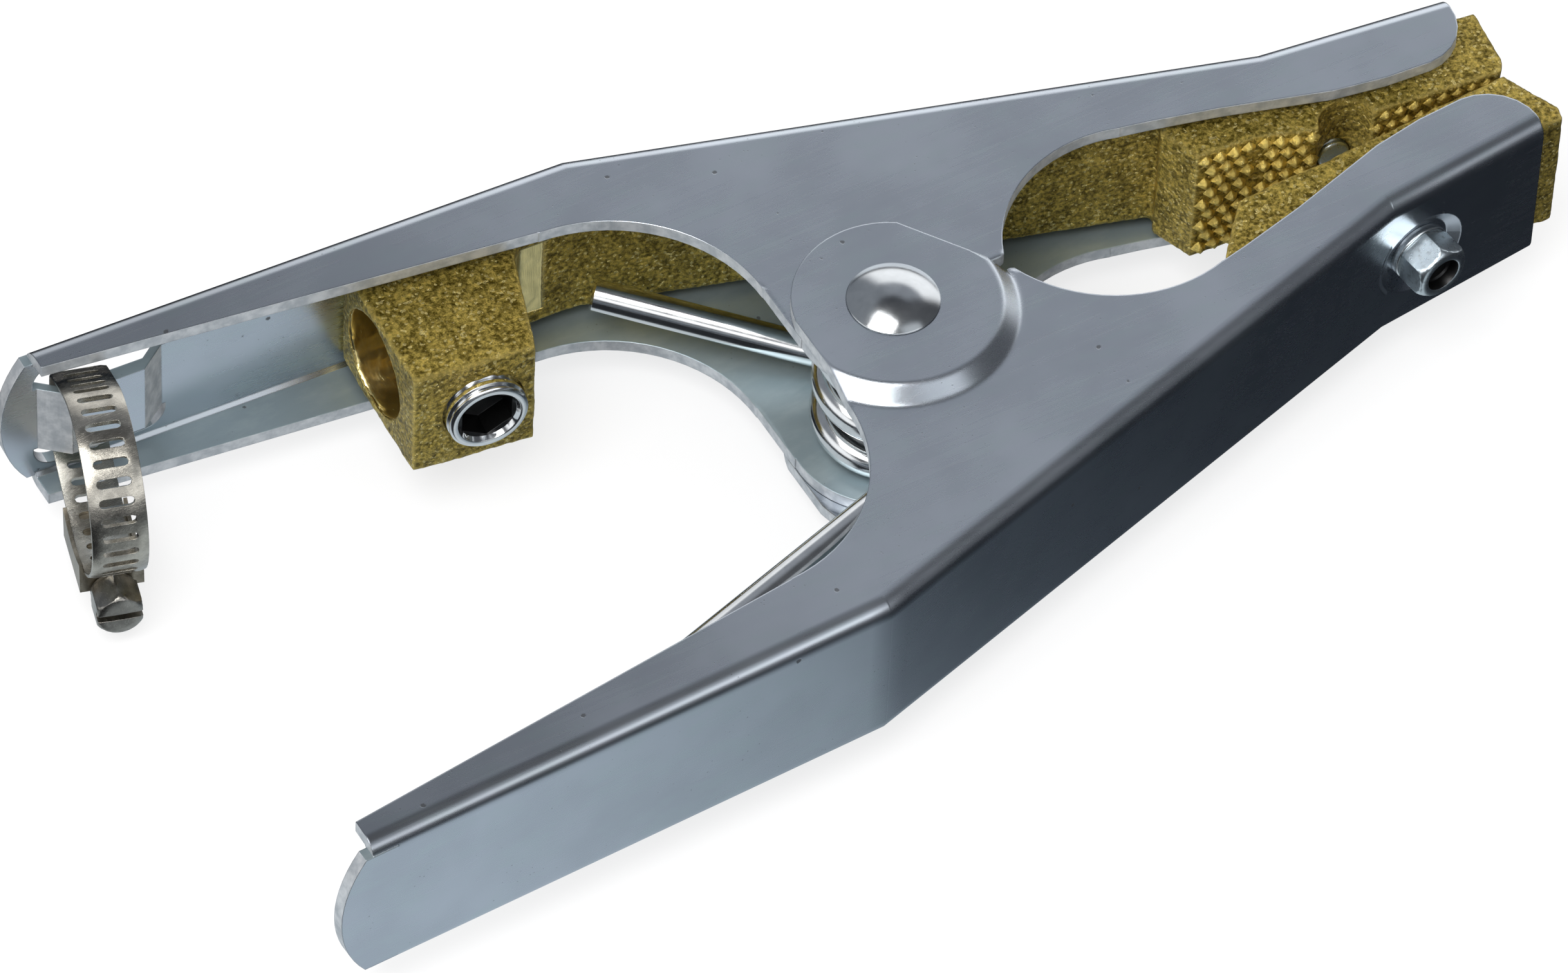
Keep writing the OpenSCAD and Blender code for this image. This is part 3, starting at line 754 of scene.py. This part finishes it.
def loop_line(d):
    """Closed outline of the loop grown by d, in (local Y, Z)."""
    pts = []
    for cy, cz, r, n in ((LOOP_Y, LOOP_Z, LOOP_R + d, 720), (15.2 - 3.4, 5.0, 3.4 + d, 180), (15.2 - 3.4, -5.0, 3.4 + d, 180)):
        pts += [(round(cy + r * math.cos(2 * math.pi * k / n), 6), round(cz + r * math.sin(2 * math.pi * k / n), 6))
                for k in range(n)]
    return convex(pts)


class Path:
    """A closed line by arc length, starting at its lowest point."""

    def __init__(self, pts):
        k = min(range(len(pts)), key=lambda i: pts[i][1])
        self.p = pts[k:] + pts[:k] + [pts[k]]
        self.s = [0.0]
        for a, b in zip(self.p, self.p[1:]):
            self.s.append(self.s[-1] + math.dist(a, b))
        self.length = self.s[-1]

    def at(self, s):
        s %= self.length
        i = min(max(bisect.bisect_right(self.s, s) - 1, 0), len(self.p) - 2)
        f = (s - self.s[i]) / max(self.s[i + 1] - self.s[i], 1e-9)
        (x0, y0), (x1, y1) = self.p[i], self.p[i + 1]
        dx, dy = x1 - x0, y1 - y0
        ln = math.hypot(dx, dy)
        return (x0 + dx * f, y0 + dy * f), (dy / ln, -dx / ln)


def slotted_band(name):
    mean = Path(loop_line(0.0))
    cells = int(round(mean.length / 2.75))
    p = mean.length / cells
    hw, hs, hl = BAND_W / 2, 0.62, 2.55
    straight = hl - hs
    q = hs * math.sin(math.pi / 4)
    # outer boundary of a cell and the slot's rim, point by point: (along, across)
    outer, inner = [], []
    for k in range(6):
        outer.append((0.0, -hw + 2 * hw * k / 6))
        inner.append((p / 2 - (q if k == 0 else hs), -straight - q if k == 0 else -straight + 2 * straight * (k - 1) / 4))
    for k in range(2):
        outer.append((p * k / 2, hw))
        inner.append((p / 2 - q, straight + q) if k == 0 else (p / 2, hl))
    for k in range(6):
        outer.append((p, hw - 2 * hw * k / 6))
        inner.append((p / 2 + (q if k == 0 else hs), straight + q if k == 0 else straight - 2 * straight * (k - 1) / 4))
    for k in range(2):
        outer.append((p - p * k / 2, -hw))
        inner.append((p / 2 + q, -straight - q) if k == 0 else (p / 2, -hl))
    n = len(outer)
    bm = bmesh.new()

    def vert(s, x, side):
        (y, z), (ny, nz) = mean.at(s)
        d = side * BAND_T / 2
        # the band's edges are rolled over slightly
        if abs(x) > hw - 0.01:
            d *= 0.55
        v = clamp_point(x, y + ny * d, z + nz * d)
        return bm.verts.new(v * MM)

    for c in range(cells):
        s0 = c * p
        layers = []
        for side in (1, -1):
            o = [vert(s0 + a, x, side) for a, x in outer]
            mid = [vert(s0 + a * 0.45 + b * 0.55, x * 0.45 + y * 0.55, side) for (a, x), (b, y) in zip(outer, inner)]
            i = [vert(s0 + a, x, side) for a, x in inner]
            layers.append((o, mid, i))
            for k in range(n):
                k2 = (k + 1) % n
                for u, w in ((o, mid), (mid, i)):
                    f = [u[k], u[k2], w[k2], w[k]]
                    bm.faces.new(f if side > 0 else f[::-1])
        for k in range(n):
            k2 = (k + 1) % n
            bm.faces.new([layers[0][2][k], layers[0][2][k2], layers[1][2][k2], layers[1][2][k]])
            if abs(abs(outer[k][1]) - hw) < 1e-6 and abs(outer[k][1] - outer[k2][1]) < 1e-6:
                bm.faces.new([layers[0][0][k2], layers[0][0][k], layers[1][0][k], layers[1][0][k2]])
    bmesh.ops.remove_doubles(bm, verts=bm.verts, dist=1e-6)
    bmesh.ops.recalc_face_normals(bm, faces=bm.faces)
    for f in bm.faces:
        f.smooth = True
    for e in bm.edges:
        e.smooth = len(e.link_faces) != 2 or e.calc_face_angle(0.0) < math.radians(38)
    me = bpy.data.meshes.new(name)
    bm.to_mesh(me)
    bm.free()
    me.materials.append(M_BAND)
    ob = bpy.data.objects.new(name, me)
    bpy.context.scene.collection.objects.link(ob)
    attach(ob, "hose_clamp")
    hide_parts("hose_clamp_band")
    return ob


slotted_band("slotted_band")
paint(NODES["hose_clamp_housing"], M_HOUSING)


def worm_screw(name):
    m = frame_at(WORM_POS, -WORM_AXIS)
    rings = [circle_ring(r, z) for r, z in ((0.6, -5.2), (1.9, -5.15), (2.1, -5.0))]
    z = -4.9
    while z < 5.2:
        rings += [circle_ring(2.55, z), circle_ring(2.55, z + 0.3), circle_ring(2.0, z + 0.7), circle_ring(2.0, z + 1.0)]
        z += 1.35
    rings += [circle_ring(2.55, 5.7), circle_ring(3.0, 5.72), circle_ring(3.2, 5.85), circle_ring(3.2, 6.4)]
    af, rt = 6.5, 6.5 / 2 / math.cos(math.pi / 6)
    top = 11.5
    for down, cap in ((5.08, rt - 0.55), (5.0, rt - 0.3), (4.75, rt), (1.2, rt), (0.8, rt - 0.08), (0.45, rt - 0.25),
                      (0.2, rt - 0.48)):
        rings.append(hex_ring(af, top - down, cap))
    # end face with its screwdriver slot
    slot_w, slot_d = 0.62, 1.5
    for k, shrink in enumerate((2.95, 2.2, 1.5, 0.9)):
        rings.append(circle_ring(shrink, top - 0.02 * (3 - k)))
    ob = ringed(name, M_SCREW, m, rings, sharp=30)
    cutter = bpy.data.meshes.new(name + "_slot")
    bm = bmesh.new()
    bmesh.ops.create_cube(bm, size=1.0)
    bm.transform(m @ Matrix.Translation((0, 0, top)) @ Matrix.Diagonal((2 * slot_w * 0.9, 9.0, 2 * slot_d, 1.0)))
    bm.transform(Matrix.Scale(MM, 4))
    bm.to_mesh(cutter)
    bm.free()
    co = bpy.data.objects.new(name + "_slot", cutter)
    bpy.context.scene.collection.objects.link(co)
    mod = ob.modifiers.new("slot", "BOOLEAN")
    mod.object = co
    mod.operation = "DIFFERENCE"
    mod.solver = "EXACT"
    bpy.context.view_layer.update()
    dg = bpy.context.evaluated_depsgraph_get()
    me = bpy.data.meshes.new_from_object(ob.evaluated_get(dg))
    ob.modifiers.clear()
    ob.data = me
    bpy.data.objects.remove(co)
    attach(ob, "worm_screw")
    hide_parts("hose_clamp_screw")


worm_screw("worm_screw_body")

# ---------------------------------------------------------------- floor and lights
def flat(name, x0, x1, y0, y1, z, mat):
    me = bpy.data.meshes.new(name)
    me.from_pydata([(x0, y0, z), (x1, y0, z), (x1, y1, z), (x0, y1, z)], [], [(0, 1, 2, 3)])
    ob = bpy.data.objects.new(name, me)
    bpy.context.scene.collection.objects.link(ob)
    me.materials.append(mat)
    return ob


fm = bpy.data.materials.new("floor_pale")
fm.use_nodes = True
fm.node_tree.nodes.clear()
fo = fm.node_tree.nodes.new("ShaderNodeOutputMaterial")
fmix = fm.node_tree.nodes.new("ShaderNodeMixShader")
fdif = fm.node_tree.nodes.new("ShaderNodeBsdfDiffuse")
femi = fm.node_tree.nodes.new("ShaderNodeEmission")
fdif.inputs["Color"].default_value = (0.92, 0.92, 0.92, 1)
femi.inputs["Color"].default_value = (1, 1, 1, 1)
femi.inputs["Strength"].default_value = 1.0
fmix.inputs[0].default_value = 0.72
fm.node_tree.links.new(fdif.outputs[0], fmix.inputs[1])
fm.node_tree.links.new(femi.outputs[0], fmix.inputs[2])
fm.node_tree.links.new(fmix.outputs[0], fo.inputs[0])
floor = flat("floor", -3, 3, -3, 3, 0.0, fm)
floor.visible_glossy = False


def card(name, x0, x1, y0, y1, z):
    """Reflector under the floor, seen only in polished metal: pale below the handles, dark below the jaws."""
    m = bpy.data.materials.new(name)
    m.use_nodes = True
    t = m.node_tree
    t.nodes.clear()
    o = t.nodes.new("ShaderNodeOutputMaterial")
    e = t.nodes.new("ShaderNodeEmission")
    px, py, pz = xyz(t, mk(t, "TexCoord", "Object"))
    cr = t.nodes.new("ShaderNodeValToRGB")
    put(t, cr.inputs[0], px * 2.5 + 0.5)
    stops = ((-0.16, (0.60, 0.68, 0.76)), (-0.05, (0.47, 0.535, 0.59)), (0.0, (0.30, 0.35, 0.385)),
             (0.022, (0.13, 0.155, 0.18)), (0.05, (0.050, 0.062, 0.076)), (0.09, (0.020, 0.026, 0.034)),
             (0.15, (0.010, 0.013, 0.018)))
    el = cr.color_ramp.elements
    while len(el) < len(stops):
        el.new(0.5)
    for k, (at, col) in zip(el, stops):
        k.position = at * 2.5 + 0.5
        k.color = (*col, 1)
    inc = xyz(t, mk(t, "NewGeometry", "Incoming"))
    rx, ry = -inc[0], -inc[1]
    steady = mixc(t, rx.ramp(0.12, 0.30), (0.56, 0.62, 0.66), S(t, cr.outputs[0]))
    lit = rx.ramp(-0.24, 0.0).max(ry.ramp(-0.42, -0.25))
    put(t, e.inputs["Color"], mixc(t, lit, (0.02, 0.022, 0.026), steady))
    t.links.new(e.outputs[0], o.inputs[0])
    ob = flat(name, x0, x1, y0, y1, z, m)
    ob.visible_camera = ob.visible_diffuse = ob.visible_shadow = ob.visible_transmission = False
    return ob


card("reflector", -0.40, 0.40, -0.40, 0.10, -0.05)

world = bpy.data.worlds.new("studio")
bpy.context.scene.world = world
world.use_nodes = True
nt = world.node_tree
nt.nodes.clear()
wout = nt.nodes.new("ShaderNodeOutputWorld")
tc = nt.nodes.new("ShaderNodeTexCoord")
x, y, z = xyz(nt, S(nt, tc.outputs["Generated"]))
lower = mixc(nt, x.ramp(0.2, 0.9), (0.008, 0.011, 0.017), (0.012, 0.017, 0.026))
back = mixc(nt, z.ramp(0.68, 0.54), (0.27, 0.292, 0.33), (1.2, 1.22, 1.25))
back = mixc(nt, x.ramp(0.30, 0.05), back, (0.20, 0.22, 0.25))
zen = mixc(nt, z.ramp(0.86, 0.94), back, (0.045, 0.05, 0.06))
front = mixc(nt, y.ramp(-0.02, 0.25), (0.07, 0.075, 0.085), zen)
haze = x.ramp(-0.16, 0.08) * x.ramp(0.56, 0.44) * y.ramp(-0.42, -0.52) * z.ramp(0.5, 0.62)
front = mixc(nt, haze, front, (0.52, 0.56, 0.60))
low_box = y.ramp(-0.50, -0.62) * z.ramp(0.28, 0.42) * z.ramp(0.68, 0.58) * x.ramp(-0.62, -0.5) * x.ramp(0.52, 0.42)
front = mixc(nt, low_box, front, (1.7, 1.74, 1.8))
side_mask = x.ramp(-0.72, -0.86) * z.ramp(0.05, 0.2)
front = mixc(nt, side_mask, front, (1.1, 1.12, 1.15))
env = mixc(nt, z.ramp(-0.04, 0.06), lower, front)
lp = nt.nodes.new("ShaderNodeLightPath")
gl = nt.nodes.new("ShaderNodeBackground")
df = nt.nodes.new("ShaderNodeBackground")
put(nt, gl.inputs["Color"], env)
df.inputs["Color"].default_value = (1, 1, 1, 1)
df.inputs["Strength"].default_value = 1.0
mix = nt.nodes.new("ShaderNodeMixShader")
nt.links.new(lp.outputs["Is Glossy Ray"], mix.inputs[0])
nt.links.new(df.outputs[0], mix.inputs[1])
nt.links.new(gl.outputs[0], mix.inputs[2])
nt.links.new(mix.outputs[0], wout.inputs[0])


def area(name, loc, target, size, power, glossy=False):
    d = bpy.data.lights.new(name, "AREA")
    d.shape = "RECTANGLE"
    d.size, d.size_y = size
    d.energy = power
    ob = bpy.data.objects.new(name, d)
    bpy.context.scene.collection.objects.link(ob)
    ob.location = loc
    ob.rotation_mode = "QUATERNION"
    ob.rotation_quaternion = (Vector(target) - Vector(loc)).to_track_quat("-Z", "Y")
    ob.visible_glossy = glossy
    ob.visible_camera = False
    return ob


area("key_soft", (-0.5, -0.25, 1.0), (0, 0, 0), (0.7, 0.7), 9.0, True)

# ---------------------------------------------------------------- camera
cam_data = bpy.data.cameras.new("camera")
cam = bpy.data.objects.new("camera", cam_data)
bpy.context.scene.collection.objects.link(cam)
bpy.context.scene.camera = cam
cam_data.sensor_width = 36.0
cam_data.lens = 285.2
cam_data.clip_start, cam_data.clip_end = 0.05, 20.0
back_v = Vector((-0.34063, -0.54512, 0.76604)).normalized()
right_v = Vector((0.86750, -0.49637, 0.03252))
right_v = (right_v - back_v * right_v.dot(back_v)).normalized()
up_v = back_v.cross(right_v)
target = PIVOT + Vector((-0.02289, -0.01029, -0.00100))
mat = Matrix((right_v, up_v, back_v)).transposed().to_4x4()
mat.translation = target + back_v * 1.7387
cam.rotation_mode = "QUATERNION"
cam.location = mat.translation
cam.rotation_quaternion = mat.to_quaternion()

bpy.context.scene.view_settings.view_transform = "Standard"
bpy.context.scene.view_settings.look = "None"

bpy.context.view_layer.update()
